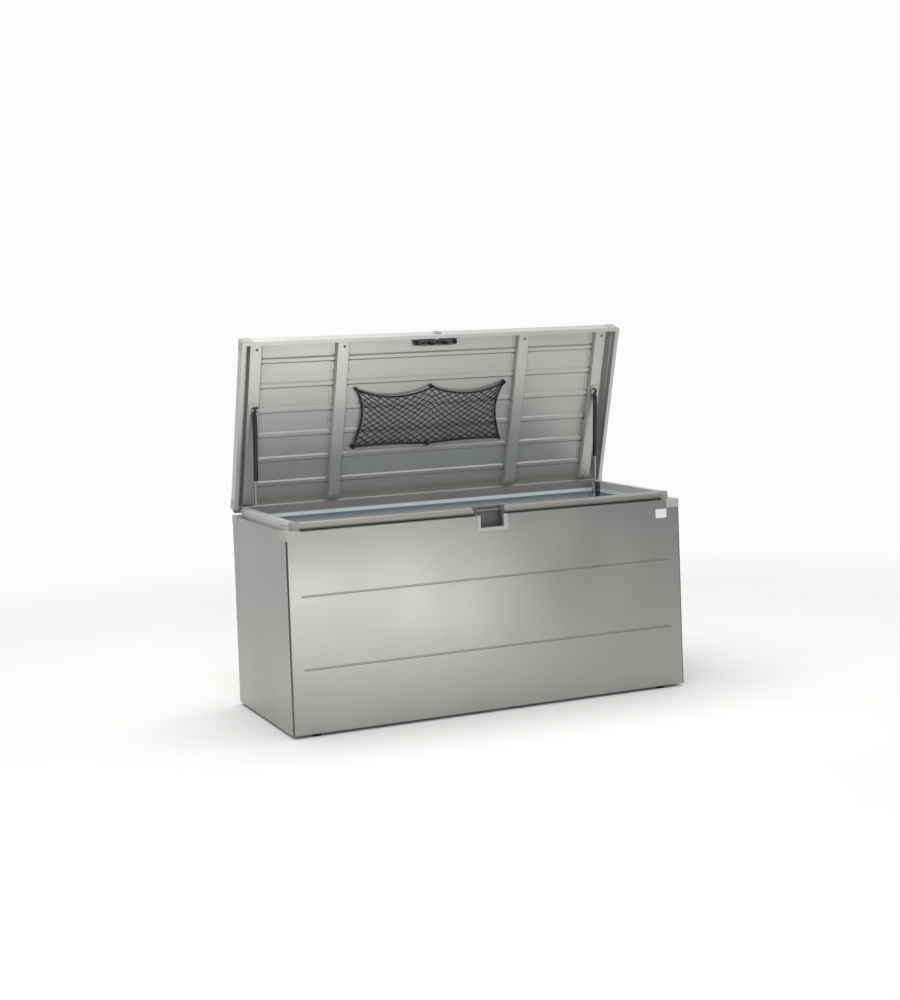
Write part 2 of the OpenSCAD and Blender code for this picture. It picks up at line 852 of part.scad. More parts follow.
module lid_bumpers() {
  color("#141414") on_lid() for (x = [-bumper_x, bumper_x])
    rod_z(rim_z + 0.8, slider_z + slider_t + slide_gap, x, -rim_y + rim_w / 2, bumper_r);
}

// ---- gas struts ----

// Bracket on the outer stiffener with the stud for the strut's tube
module lid_stud() {
  ear = -strut_x + ear_out;
  end = -strut_x - eye_half - slide_gap;
  color("#1d1e1f") on_lid() {
    block([ear - 33, ear + plate_t], [stud_y - 22, stud_y + 22], [crown_z - 2, crown_z]);
    block([ear, ear + plate_t], [stud_y - 10, stud_y + 10], [stud_z - 8, crown_z - 2 + e]);
    rod_x(-strut_x + eye_half + slide_gap, ear + e, stud_y, stud_z, stud_collar_r);
    rod_x(end, ear, stud_y, stud_z, rod_r);
    rod_x(end - 2.5, end + e, stud_y, stud_z, stud_collar_r);
  }
}

module lid_stud_left() { lid_stud(); }
module lid_stud_right() { side(1) lid_stud(); }

// Plate inside the rim that carries the strut's foot
module strut_bracket() {
  color("#1d1e1f") {
    block([-inner_x, -inner_x + plate_t], [seat_y - 25, seat_y + 25], [seat_z + 20, rim_z - 4]);
    block([-inner_x, -inner_x + plate_t], [seat_y - seat_boss_r, seat_y + seat_boss_r],
      [seat_z, seat_z + 20 + e]);
    rod_x(-inner_x, -inner_x + plate_t, seat_y, seat_z, seat_boss_r);
    rod_x(-inner_x - 4, -inner_x + e, seat_y, seat_z, 6.5);
  }
}

module strut_bracket_left() { strut_bracket(); }
module strut_bracket_right() { side(1) strut_bracket(); }

// Frame of the left strut: origin on the lid stud, +Z towards the wall stud
module along_strut() {
  translate([-strut_x, top_y, top_z]) rotate([strut_tilt, 0, 0]) children();
}

module eye(z) {
  translate([-eye_half, 0, z]) rotate([0, 90, 0]) cylinder(r = eye_r, h = 2 * eye_half, $fn = 32);
}

module strut_tube() {
  end = neck_l + tube_l;
  color("#17181a") along_strut() difference() {
    union() {
      eye(0);
      translate([0, 0, 4]) cylinder(r = neck_r, h = neck_l, $fn = 32);
      translate([0, 0, neck_l]) cylinder(r = tube_r, h = tube_l, $fn = 32);
    }
    rotate([0, 90, 0]) translate([0, 0, -10]) cylinder(r = rod_r + pin_play, h = 20, $fn = 32);
    translate([0, 0, neck_l + 6]) cylinder(r = tube_r - tube_wall, h = tube_l - 18, $fn = 32);
    translate([0, 0, end - 20]) cylinder(r = rod_r + pin_play, h = 30, $fn = 32);
  }
}

module strut_tube_left() { strut_tube(); }
module strut_tube_right() { side(1) strut_tube(); }

// Rod with its piston, lower eye and the short pin that faces the bracket
module strut_rod() {
  piston = neck_l + tube_l - 26;
  color("#c9cbcc") along_strut() {
    translate([0, 0, piston]) cylinder(r = rod_r, h = strut_l - piston - eye_r + 1, $fn = 32);
    translate([0, 0, piston]) cylinder(r = tube_r - 2, h = 10, $fn = 32);
    eye(strut_l);
    translate([0, 0, strut_l - 22]) cylinder(r = eye_collar_r, h = 18, $fn = 32);
    translate([0, 0, strut_l]) rotate([0, -90, 0])
      cylinder(r = rod_r, h = inner_x - strut_x - plate_t - seat_gap, $fn = 32);
  }
}

module strut_rod_left() { strut_rod(); }
module strut_rod_right() { side(1) strut_rod(); }

// ---- net pocket ----

net_z = lid_under - 14;
net_t = 3;
peg_r = 3;
peg_foot_r = 7;
net_pegs = [
  [-net_half, net_top], [0, net_top - 3], [net_half, net_top],
  [net_half, net_low], [0, net_low - 5], [-net_half, net_low]
];

module net() {
  color("#202123") on_lid() along_z(net_z, net_z + net_t) difference() {
    polygon([for (p = net_pegs) [p[0] * 1.01, axis_y - p[1]]]);
    for (p = net_pegs) translate([p[0], axis_y - p[1]]) circle(r = peg_r + slide_gap, $fn = 32);
  }
}

// Peg on the lid's sheet, with a head below the net, for each of the net's fixing points
module net_hooks() {
  color("#101010") on_lid() for (p = net_pegs) {
    y = axis_y - p[1];
    rod_z(lid_under - 2, lid_under, p[0], y, peg_foot_r);
    rod_z(net_z - 1, lid_under - 1, p[0], y, peg_r);
    rod_z(net_z - slide_gap - 2, net_z - slide_gap, p[0], y, peg_foot_r);
  }
}

// ---- screws and rivets ----

head_t = 1.5;
head_r = 4;
rivet_r = 3;
rivet_t = 0.8;

module body_screws() {
  color("#8d9092") for (s = [-1, 1]) side(s) {
    for (y = [-rim_y + 60, 0, rim_y - 40])
      rod_z(rim_z, rim_z + head_t, -rim_x + rim_w / 2, y, head_r);
    for (z = [seat_z + 40, rim_z - 14])
      for (y = [seat_y - 16, seat_y + 16])
        rod_x(-inner_x + plate_t, -inner_x + plate_t + head_t, y, z, head_r);
    for (x = [-hinge_x - 14, -hinge_x + 14])
      rod_z(ledge_z + bracket_t, ledge_z + bracket_t + head_t, x, rim_y + 8, 3.2);
  }
}

module lid_rivets() {
  off = stiff_root + stiff_flange / 2;
  z = lid_under - lid_t - rivet_t;
  color("#9c9d9b") on_lid() for (x = [-stiff_x, -stiff_in, stiff_in, stiff_x])
    for (s = [-1, 1])
      for (i = [0, 2, 4])
        translate([x + s * off, axis_y - bead_first - (i + 0.5) * bead_pitch, z])
          cylinder(r = rivet_r, h = rivet_t, $fn = 16);
}

front_wall();
back_wall();
side_wall();  // side_wall_left
side(1) side_wall();  // side_wall_right
floor();
base_rails();
foot_fl();
foot_fr();
foot_bl();
foot_br();
post_fl();
post_fr();
post_bl();
post_br();
body_cap_fl();
body_cap_fr();
body_cap_bl();
body_cap_br();
rim_front_left();
rim_front_right();
rim_left();
rim_right();
rim_back();
rim_corner_left();
rim_corner_right();
grip_liner();
strike_plate();
label_plate();
hinge_bracket_left();
hinge_bracket_right();
hinge_pins();
strut_bracket_left();
strut_bracket_right();
body_screws();
lid_shell();
stiffener_1();
stiffener_2();
stiffener_3();
stiffener_4();
lid_cap_fl();
lid_cap_fr();
lid_cap_bl();
lid_cap_br();
hinge_leaf_left();
hinge_leaf_right();
lid_stud_left();
lid_stud_right();
latch_housing();
lid_bumpers();
lock_barrel();
lock_plug();
latch_slider();
net();
net_hooks();
lid_rivets();
strut_tube_left();
strut_tube_right();
strut_rod_left();
strut_rod_right();
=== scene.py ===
import json
import math
import random

import bmesh
import bpy
from mathutils import Matrix, Vector


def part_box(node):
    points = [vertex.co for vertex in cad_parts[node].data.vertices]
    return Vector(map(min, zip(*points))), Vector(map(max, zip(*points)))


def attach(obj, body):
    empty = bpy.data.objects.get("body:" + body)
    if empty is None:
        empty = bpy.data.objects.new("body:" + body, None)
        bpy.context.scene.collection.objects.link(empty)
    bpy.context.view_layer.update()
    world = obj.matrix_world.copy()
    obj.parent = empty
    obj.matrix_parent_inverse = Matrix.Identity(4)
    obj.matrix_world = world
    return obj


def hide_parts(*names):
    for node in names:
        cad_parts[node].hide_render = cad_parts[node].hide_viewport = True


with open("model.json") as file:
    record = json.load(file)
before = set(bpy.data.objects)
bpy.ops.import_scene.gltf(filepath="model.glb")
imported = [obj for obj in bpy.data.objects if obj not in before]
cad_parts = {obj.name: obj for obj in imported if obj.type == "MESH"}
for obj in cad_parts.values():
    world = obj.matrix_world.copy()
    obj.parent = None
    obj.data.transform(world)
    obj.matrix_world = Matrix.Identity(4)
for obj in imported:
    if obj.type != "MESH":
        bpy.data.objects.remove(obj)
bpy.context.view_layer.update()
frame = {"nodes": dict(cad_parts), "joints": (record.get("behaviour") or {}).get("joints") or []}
nodes = frame["nodes"]
scene = bpy.context.scene
print("frame loaded,", len(nodes), "nodes")

# the lid's hinge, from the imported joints: what is laid out on the closed lid is turned with it
hinge = next(j for j in frame["joints"] if j["name"] == "lid_hinge")
hingeAt = Vector(hinge["pos_m"])
lidTurn = Matrix.Rotation(-math.radians(hinge["range_deg"][1]), 3, "X")
skinAbove = 0.0298  # from the hinge axis up to the inner skin, lid closed


def onLid(x, reach, drop):
    # x across the lid, reach from the hinge axis to the lid's front, drop below its inner skin
    closed = Vector((x, -reach, skinAbove - drop))
    return hingeAt + lidTurn @ closed


def linear(code):
    # sRGB hex to scene-linear
    found = []
    for i in (1, 3, 5):
        c = int(code[i:i + 2], 16) / 255
        found.append(c / 12.92 if c <= 0.04045 else ((c + 0.055) / 1.055) ** 2.4)
    return (*found, 1.0)


def addNode(tree, kind, settings=None, links=None):
    # a setting is a property of the node, or else the value of an input
    node = tree.nodes.new(kind)
    for key, value in (settings or {}).items():
        if isinstance(key, str) and hasattr(node, key):
            setattr(node, key, value)
        else:
            node.inputs[key].default_value = value
    for key, source in (links or {}).items():
        tree.links.new(source, node.inputs[key])
    return node


def newMaterial(name):
    material = bpy.data.materials.new(name)
    material.use_nodes = True
    tree = material.node_tree
    tree.nodes.clear()
    return material, tree


def close(tree, shader):
    addNode(tree, "ShaderNodeOutputMaterial", None, {"Surface": shader.outputs[0]})


view = {
    "at": (-2.638, -6.4559, 1.5119),
    "yaw": 25.687,
    "pitch": -2.65,
    "roll": -1.923,
    "sensor": 36,
    "lens": 64.26,
    "shift": (-0.11, -0.1107),
}


def makeCamera():
    yaw, pitch, roll = (math.radians(view[k]) for k in ("yaw", "pitch", "roll"))
    ahead = Vector((math.sin(yaw) * math.cos(pitch), math.cos(yaw) * math.cos(pitch), math.sin(pitch)))
    right = Vector((math.cos(yaw), -math.sin(yaw), 0))
    up = right.cross(ahead)
    turnedRight = right * math.cos(roll) + up * math.sin(roll)
    turnedUp = up * math.cos(roll) - right * math.sin(roll)
    data = bpy.data.cameras.new("camera")
    data.sensor_width = view["sensor"]
    data.lens = view["lens"]
    data.shift_x, data.shift_y = view["shift"]
    camera = bpy.data.objects.new("camera", data)
    turn = Matrix((turnedRight, turnedUp, -ahead)).transposed().to_4x4()
    camera.matrix_world = Matrix.Translation(view["at"]) @ turn
    scene.collection.objects.link(camera)
    scene.camera = camera


makeCamera()

studio = {
    "floor": ("#EEEEEC", "#F2F2F0"),
    "floorSize": 12,
    "floorFade": (1.9, 4.6),     # the floor thins out between these distances
    "back": 0.97, "front": 0.66,  # brightness of the room behind the box and in front of it
    "rightShare": 0.6,           # what is left of it to the front right
    "leftShare": 0.6,            # and to the left
    "darkEnd": 0.5,              # and at the front left end of the room
    "toRight": (0.1, 0.7), "toLeft": (-0.8, 0.05),       # directions between which each change runs
    "toBack": (-0.8, 0.3), "toEnd": (0.86, 0.99), "toTop": (0.25, 0.9),
    "endAt": (-0.5, -0.86, 0),
    "overhead": 0.95,
    # place, aim, width, height, watts; the second, low one is there to brighten the middle of the front wall
    "lamps": [
        ((-2.0, -4.2, 3.3), (0, 0, 0.7), 2.6, 2.0, 54),
        ((-0.05, -1.8, 0.26), (-0.3, -0.35, 0.42), 1.3, 0.36, 3.6),
        ((3.6, -1.8, 3.0), (0.3, 0, 0.6), 1.8, 1.8, 10),
        ((-0.6, 0.6, 4.0), (0, 0, 0.4), 3.0, 1.6, 44),
    ],
}


def makeFloor():
    material, tree = newMaterial("paleFloorPaper")
    coords = addNode(tree, "ShaderNodeTexCoord")
    grain = addNode(tree, "ShaderNodeTexNoise", {"Scale": 3.0}, {"Vector": coords.outputs["Object"]})
    dull, bright = studio["floor"]
    tone = addNode(tree, "ShaderNodeMix", {"data_type": "RGBA", 6: linear(dull), 7: linear(bright)},
                   {0: grain.outputs[0]})
    paper = addNode(tree, "ShaderNodeBsdfDiffuse", None, {"Color": tone.outputs[2]})
    far = addNode(tree, "ShaderNodeVectorMath", {"operation": "LENGTH"}, {0: coords.outputs["Object"]})
    low, high = studio["floorFade"]
    fade = addNode(tree, "ShaderNodeMapRange", {"interpolation_type": "SMOOTHSTEP", 1: low, 2: high},
                   {0: far.outputs["Value"]})
    clear = addNode(tree, "ShaderNodeBsdfTransparent")
    mix = addNode(tree, "ShaderNodeMixShader", None,
                  {0: fade.outputs[0], 1: paper.outputs[0], 2: clear.outputs[0]})
    close(tree, mix)
    bpy.ops.mesh.primitive_plane_add(size=studio["floorSize"])
    floor = bpy.context.object
    floor.name = "studioFloor"
    floor.data.materials.append(material)


def makeRoom():
    world = bpy.data.worlds.new("softRoom")
    scene.world = world
    world.use_nodes = True
    tree = world.node_tree
    tree.nodes.clear()
    coords = addNode(tree, "ShaderNodeTexCoord")
    split = addNode(tree, "ShaderNodeSeparateXYZ", None, {0: coords.outputs["Generated"]})
    right, leftward, back = studio["toRight"], studio["toLeft"], studio["toBack"]
    endward, up = studio["toEnd"], studio["toTop"]
    across = addNode(tree, "ShaderNodeMapRange",
                     {1: right[0], 2: right[1], 3: studio["front"],
                      4: studio["front"] * studio["rightShare"]},
                     {0: split.outputs["X"]})
    depth = addNode(tree, "ShaderNodeMapRange", {1: back[0], 2: back[1]}, {0: split.outputs["Y"]})
    along = addNode(tree, "ShaderNodeMix", {"data_type": "FLOAT", 3: studio["back"]},
                    {0: depth.outputs[0], 2: across.outputs[0]})
    left = addNode(tree, "ShaderNodeMapRange",
                   {1: leftward[0], 2: leftward[1], 3: studio["leftShare"], 4: 1.0},
                   {0: split.outputs["X"]})
    both = addNode(tree, "ShaderNodeMath", {"operation": "MULTIPLY"},
                   {0: along.outputs[0], 1: left.outputs[0]})
    toEnd = addNode(tree, "ShaderNodeVectorMath", {"operation": "DOT_PRODUCT", 1: studio["endAt"]},
                    {0: coords.outputs["Generated"]})
    end = addNode(tree, "ShaderNodeMapRange", {1: endward[0], 2: endward[1], 3: 1.0, 4: studio["darkEnd"]},
                  {0: toEnd.outputs["Value"]})
    level = addNode(tree, "ShaderNodeMath", {"operation": "MULTIPLY"},
                    {0: both.outputs[0], 1: end.outputs[0]})
    above = addNode(tree, "ShaderNodeMapRange", {1: up[0], 2: up[1]}, {0: split.outputs["Z"]})
    lifted = addNode(tree, "ShaderNodeMix", {"data_type": "FLOAT", 3: studio["overhead"]},
                     {0: above.outputs[0], 2: level.outputs[0]})
    room = addNode(tree, "ShaderNodeBackground", {"Color": linear("#FFFFFF")},
                   {"Strength": lifted.outputs[0]})
    addNode(tree, "ShaderNodeOutputWorld", None, {"Surface": room.outputs[0]})


def makeLamps():
    for i, (at, aim, width, height, watts) in enumerate(studio["lamps"]):
        data = bpy.data.lights.new(f"softbox{i}", "AREA")
        data.shape = "RECTANGLE"
        data.size, data.size_y, data.energy = width, height, watts
        lamp = bpy.data.objects.new(f"softbox{i}", data)
        lamp.location = at
        lamp.rotation_euler = (Vector(aim) - Vector(at)).to_track_quat("-Z", "Y").to_euler()
        lamp.visible_camera = False
        scene.collection.objects.link(lamp)


makeFloor()
makeRoom()
makeLamps()
scene.view_settings.view_transform = "Standard"
print("camera and studio ready")


wallLow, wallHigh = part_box("front_wall")
folds = {
    "returnAt": -wallLow.y - 0.062,                       # where the front wall's return meets the side sheet
    "paintedCornerX": (wallHigh.x - 0.0065, wallHigh.x - 0.005),  # the tight bend at each corner, where a dark reflection is painted
    "paintedCornerY": (-wallLow.y - 0.0065, -wallLow.y - 0.005),
}


def metallicCoat(name, tones, rough=(0.30, 0.40), metallic=0.92, edge="#D9D9D6", edgeHighlightStrength=0.45,
                 inside=None, seamsAndPaintedCorner=False, creaseShade=0.0):
    # polyamide stoving enamel with metal flake on zinc-coated sheet: a soft silver sheen, slightly cloudy,
    # with fine flake, faint orange peel and a painted highlight along the edges
    material, tree = newMaterial(name)
    coords = addNode(tree, "ShaderNodeTexCoord")
    place = coords.outputs["Object"]
    # real flake is under 0.1 mm; drawn 1.6 mm across so that it shows
    flake = addNode(tree, "ShaderNodeTexNoise", {"Scale": 1 / 0.0016, "Detail": 1.0}, {"Vector": place})
    # the sheet's slow shifts in sheen, about 300 mm long
    cloud = addNode(tree, "ShaderNodeTexNoise", {"Scale": 1 / 0.3, "Detail": 2.0, "Roughness": 0.4},
                    {"Vector": place})
    base = addNode(tree, "ShaderNodeMix", {"data_type": "RGBA", 6: linear(tones[0]), 7: linear(tones[1])},
                   {0: cloud.outputs[0]})
    speck = addNode(tree, "ShaderNodeMapRange", {1: 0.35, 2: 0.7, 3: 0.0, 4: 0.35}, {0: flake.outputs[0]})
    tinted = addNode(tree, "ShaderNodeMix", {"data_type": "RGBA", 7: linear(tones[2])},
                     {0: speck.outputs[0], 6: base.outputs[2]})
    colour = tinted.outputs[2]
    if seamsAndPaintedCorner:
        # hairline where the front wall's return meets the side sheet
        split = addNode(tree, "ShaderNodeSeparateXYZ", None, {0: place})
        foldY = addNode(tree, "ShaderNodeMath", {"operation": "ABSOLUTE"}, {0: split.outputs["Y"]})
        off = addNode(tree, "ShaderNodeMath", {"operation": "SUBTRACT", 1: folds["returnAt"]},
                      {0: foldY.outputs[0]})
        dist = addNode(tree, "ShaderNodeMath", {"operation": "ABSOLUTE"}, {0: off.outputs[0]})
        line = addNode(tree, "ShaderNodeMapRange", {1: 0.0006, 2: 0.0016, 3: 0.55, 4: 0.0},
                       {0: dist.outputs[0]})
        seam = addNode(tree, "ShaderNodeMix", {"data_type": "RGBA", 7: linear("#4C4C4A")},
                       {0: line.outputs[0], 6: colour})
        # painted reflection: a dark line down each corner's tight bend, a colour laid by position, not a real
        # change in the coat
        outX = addNode(tree, "ShaderNodeMath", {"operation": "ABSOLUTE"}, {0: split.outputs["X"]})
        nearX, nearY = folds["paintedCornerX"], folds["paintedCornerY"]
        foldX = addNode(tree, "ShaderNodeMapRange", {1: nearX[0], 2: nearX[1]}, {0: outX.outputs[0]})
        atY = addNode(tree, "ShaderNodeMapRange", {1: nearY[0], 2: nearY[1], 4: 0.85}, {0: foldY.outputs[0]})
        corner = addNode(tree, "ShaderNodeMath", {"operation": "MULTIPLY"},
                         {0: foldX.outputs[0], 1: atY.outputs[0]})
        paintedCorner = addNode(tree, "ShaderNodeMix", {"data_type": "RGBA", 7: linear("#4A4A49")},
                         {0: corner.outputs[0], 6: seam.outputs[2]})
        colour = paintedCorner.outputs[2]
    # rounded arrises, with a painted highlight: the bevelled normal leaves the flat one only at an edge, and
    # there the colour is laid lighter
    bevel = addNode(tree, "ShaderNodeBevel", {"samples": 4, "Radius": 0.0016})
    shape = addNode(tree, "ShaderNodeNewGeometry")
    facing = addNode(tree, "ShaderNodeVectorMath", {"operation": "DOT_PRODUCT"},
                     {0: bevel.outputs[0], 1: shape.outputs["Normal"]})
    edgeLitMask = addNode(tree, "ShaderNodeMapRange", {1: 0.985, 2: 0.90, 3: 0.0, 4: edgeHighlightStrength},
                  {0: facing.outputs["Value"]})
    paintedLightMix = addNode(tree, "ShaderNodeMix", {"data_type": "RGBA", 7: linear(edge)},
                   {0: edgeLitMask.outputs[0], 6: colour})
    # painted shade: ambient occlusion darkens the creases beside ribs and folds, for the look alone
    if creaseShade:
        creaseOcclusion = addNode(tree, "ShaderNodeAmbientOcclusion", {"samples": 6, "Distance": 0.014})
        depth = addNode(tree, "ShaderNodeMapRange", {1: 0.45, 2: 0.88, 3: creaseShade, 4: 0.0},
                        {0: creaseOcclusion.outputs["AO"]})
        paintedLightMix = addNode(tree, "ShaderNodeMix", {"data_type": "RGBA", 7: linear("#363635")},
                       {0: depth.outputs[0], 6: paintedLightMix.outputs[2]})
    sheen = addNode(tree, "ShaderNodeMapRange", {1: 0.3, 2: 0.7, 3: rough[0], 4: rough[1]},
                    {0: cloud.outputs[0]})
    # orange peel, 4 mm across
    peel = addNode(tree, "ShaderNodeTexNoise", {"Scale": 1 / 0.004, "Detail": 1.0}, {"Vector": place})
    bump = addNode(tree, "ShaderNodeBump", {"Strength": 0.12, "Distance": 0.0002},
                   {"Height": peel.outputs[0], "Normal": bevel.outputs[0]})
    shader = addNode(tree, "ShaderNodeBsdfPrincipled",
                     {"Metallic": metallic, "Coat Weight": 0.12, "Coat Roughness": 0.25},
                     {"Base Color": paintedLightMix.outputs[2], "Roughness": sheen.outputs[0],
                      "Normal": bump.outputs[0]})
    if inside:
        # on the wall's inner side, where the surface faces the middle, the coat is plain, matt and bluer
        level = addNode(tree, "ShaderNodeVectorMath", {"operation": "MULTIPLY", 1: (1, 1, 0)}, {0: place})
        inward = addNode(tree, "ShaderNodeVectorMath", {"operation": "DOT_PRODUCT"},
                         {0: level.outputs[0], 1: shape.outputs["Normal"]})
        within = addNode(tree, "ShaderNodeMath", {"operation": "LESS_THAN", 1: -0.05},
                         {0: inward.outputs["Value"]})
        innerTone = addNode(tree, "ShaderNodeMix",
                            {"data_type": "RGBA", 6: linear(inside[0]), 7: linear(inside[1])},
                            {0: cloud.outputs[0]})
        plain = addNode(tree, "ShaderNodeBsdfPrincipled", {"Roughness": 0.42},
                        {"Base Color": innerTone.outputs[2], "Normal": bump.outputs[0]})
        shader = addNode(tree, "ShaderNodeMixShader", None,
                         {0: within.outputs[0], 1: shader.outputs[0], 2: plain.outputs[0]})
    close(tree, shader)
    return material


def plainFinish(name, colours, size, rough, metallic=0.0, ior=1.5, bumpSize=0.001, bumpDepth=0.0001,
                bumpStrength=0.3,
                edge=None, coat=0.0, recessShade=None):
    # two close tones in a fine pattern, a roughness that follows it and a matching bump
    material, tree = newMaterial(name)
    coords = addNode(tree, "ShaderNodeTexCoord")
    place = coords.outputs["Object"]
    mottle = addNode(tree, "ShaderNodeTexNoise", {"Scale": 1 / size, "Detail": 3.0}, {"Vector": place})
    tone = addNode(tree, "ShaderNodeMix", {"data_type": "RGBA", 6: linear(colours[0]), 7: linear(colours[1])},
                   {0: mottle.outputs[0]})
    colour = tone.outputs[2]
    bevel = addNode(tree, "ShaderNodeBevel", {"samples": 4, "Radius": 0.001})
    # painted highlight: a lighter colour along the edges, where the bevelled normal leaves the flat one
    if edge:
        shape = addNode(tree, "ShaderNodeNewGeometry")
        facing = addNode(tree, "ShaderNodeVectorMath", {"operation": "DOT_PRODUCT"},
                         {0: bevel.outputs[0], 1: shape.outputs["Normal"]})
        edgeLitMask = addNode(tree, "ShaderNodeMapRange", {1: 0.985, 2: 0.9, 3: 0.0, 4: 0.5},
                      {0: facing.outputs["Value"]})
        paintedLightMix = addNode(tree, "ShaderNodeMix", {"data_type": "RGBA", 7: linear(edge)},
                       {0: edgeLitMask.outputs[0], 6: colour})
        colour = paintedLightMix.outputs[2]
    if recessShade:
        # painted shade: a darker colour behind a given depth, to deepen a recess
        split = addNode(tree, "ShaderNodeSeparateXYZ", None, {0: coords.outputs["Object"]})
        deep = addNode(tree, "ShaderNodeMapRange", {1: recessShade["from"], 2: recessShade["to"]},
                       {0: split.outputs["Y"]})
        dark = addNode(tree, "ShaderNodeMix", {"data_type": "RGBA", 7: linear(recessShade["colour"])},
                       {0: deep.outputs[0], 6: colour})
        colour = dark.outputs[2]
    sheen = addNode(tree, "ShaderNodeMapRange", {1: 0.3, 2: 0.7, 3: rough[0], 4: rough[1]},
                    {0: mottle.outputs[0]})
    grain = addNode(tree, "ShaderNodeTexNoise", {"Scale": 1 / bumpSize, "Detail": 2.0}, {"Vector": place})
    bump = addNode(tree, "ShaderNodeBump", {"Strength": bumpStrength, "Distance": bumpDepth},
                   {"Height": grain.outputs[0], "Normal": bevel.outputs[0]})
    settings = {"Metallic": metallic, "IOR": ior}
    if coat:
        settings.update({"Coat Weight": coat, "Coat Roughness": 0.15})
    shader = addNode(tree, "ShaderNodeBsdfPrincipled", settings,
                     {"Base Color": colour, "Roughness": sheen.outputs[0], "Normal": bump.outputs[0]})
    close(tree, shader)
    return material


def galvanisedSheet():
    # dull galvanised steel: faint crystals of zinc, 18 mm across, each with its own sheen
    material, tree = newMaterial("galvanisedSheet")
    coords = addNode(tree, "ShaderNodeTexCoord")
    spangle = addNode(tree, "ShaderNodeTexVoronoi", {"Scale": 1 / 0.018},
                      {"Vector": coords.outputs["Object"]})
    split = addNode(tree, "ShaderNodeSeparateColor", None, {0: spangle.outputs["Color"]})
    tone = addNode(tree, "ShaderNodeMix", {"data_type": "RGBA", 6: linear("#CAD1D4"), 7: linear("#D8DDDF")},
                   {0: split.outputs[0]})
    sheen = addNode(tree, "ShaderNodeMapRange", {3: 0.34, 4: 0.5}, {0: split.outputs[1]})
    film = addNode(tree, "ShaderNodeTexNoise", {"Scale": 1 / 0.006, "Detail": 3.0},
                   {"Vector": coords.outputs["Object"]})
    bump = addNode(tree, "ShaderNodeBump", {"Strength": 0.15, "Distance": 0.0002},
                   {"Height": film.outputs[0]})
    shader = addNode(tree, "ShaderNodeBsdfPrincipled", {"Metallic": 0.15},
                     {"Base Color": tone.outputs[2], "Roughness": sheen.outputs[0],
                      "Normal": bump.outputs[0]})
    close(tree, shader)
    return material


finishes = {
    # outer coat of the walls, blue-grey inside, with the hairline beside each corner and a painted dark
    # reflection down each corner bend
    "wallCoat": metallicCoat("silverPolyamideCoat", ("#929190", "#9F9E9B", "#B4B3B0"), edgeHighlightStrength=0.15,
                             inside=("#DAE2E5", "#E2E8EA"), seamsAndPaintedCorner=True),
    # lid and stiffeners: painted shade in the creases and a painted highlight along the edges
    "lidCoat": metallicCoat("silverLidCoat", ("#BCBBB8", "#C6C5C2", "#D4D3D0"), rough=(0.38, 0.46),
                            metallic=0.75, creaseShade=0.75),
    "stiffenerCoat": metallicCoat("stiffenerCoat", ("#C0BFBC", "#CAC9C6", "#D8D7D4"), rough=(0.36, 0.44),
                                  metallic=0.75, creaseShade=0.7),
    "rimCoat": metallicCoat("rimCoat", ("#979693", "#A3A29E", "#B4B3AF"), rough=(0.44, 0.52),
                            edgeHighlightStrength=0.2),
    "paleCoat": metallicCoat("paleRimCoat", ("#C6C8C6", "#CED0CE", "#D9DAD9"), rough=(0.4, 0.48),
                             metallic=0.3, edge="#E0E1E0"),
    "zinc": galvanisedSheet(),
    # moulded ASA, spark-eroded texture: even, dry, slightly lighter at the arrises, a painted highlight
    "cap": plainFinish("mouldedCapAsa", ("#A3A49F", "#ACADA8"), 0.02, (0.42, 0.5), bumpSize=0.0012,
                       edge="#C2C3BF"),
    # the corner blocks and grip trim also get a painted highlight along their edges
    "cornerBlock": plainFinish("mouldedCornerBlock", ("#92938F", "#9C9D99"), 0.02, (0.4, 0.5),
                               bumpSize=0.0012, edge="#B2B3AF"),
    # grip trim: painted shade deep in its recess
    "gripTrim": plainFinish("mouldedGripTrim", ("#A2A29E", "#ACACA8"), 0.02, (0.35, 0.45), bumpSize=0.0012,
                            edge="#C6C6C2", recessShade={"from": -0.349, "to": -0.33, "colour": "#5A5B5A"}),
    # butyl rubber, moulded: dark, dull, dusty
    "rubber": plainFinish("mouldedBlackRubber", ("#161616", "#202020"), 0.006, (0.7, 0.85), ior=1.52,
                          bumpSize=0.0015),
    # rigid PVC plate, matt white and blank
    "label": plainFinish("blankPvcPlate", ("#D9DEDB", "#E2E5E3"), 0.02, (0.45, 0.55), ior=1.53),
    # bright zinc plating on pressed steel
    "plated": plainFinish("zincPlatedSteel", ("#9FA2A3", "#B1B3B4"), 0.004, (0.28, 0.4), metallic=1.0,
                          bumpStrength=0.15),
    # ground and hard-chromed rod, nearly smooth
    "rod": plainFinish("chromedRod", ("#C4C6C8", "#D2D4D6"), 0.004, (0.1, 0.18), metallic=1.0,
                       bumpStrength=0.05),
    # black stoving enamel on tube and plate, with a painted highlight along the edges
    "blackPaint": plainFinish("blackStovedEnamel", ("#111213", "#1A1B1C"), 0.01, (0.28, 0.38), bumpSize=0.003,
                              bumpStrength=0.2, edge="#3A3B3C", coat=0.3),
    # glass-filled nylon, moulded, with a painted highlight along the edges
    "nylon": plainFinish("charcoalNylon", ("#606264", "#6C6E70"), 0.008, (0.45, 0.6), ior=1.53,
                         bumpSize=0.0012, edge="#85878A"),
    "blackNylon": plainFinish("blackNylon", ("#131415", "#1C1D1E"), 0.008, (0.4, 0.55), ior=1.53,
                              bumpSize=0.0012, edge="#333436"),
    # die-cast zinc, tumbled and chromed satin
    "lockMetal": plainFinish("satinDieCast", ("#A3A5A7", "#B3B5B7"), 0.003, (0.25, 0.35), metallic=1.0),
}

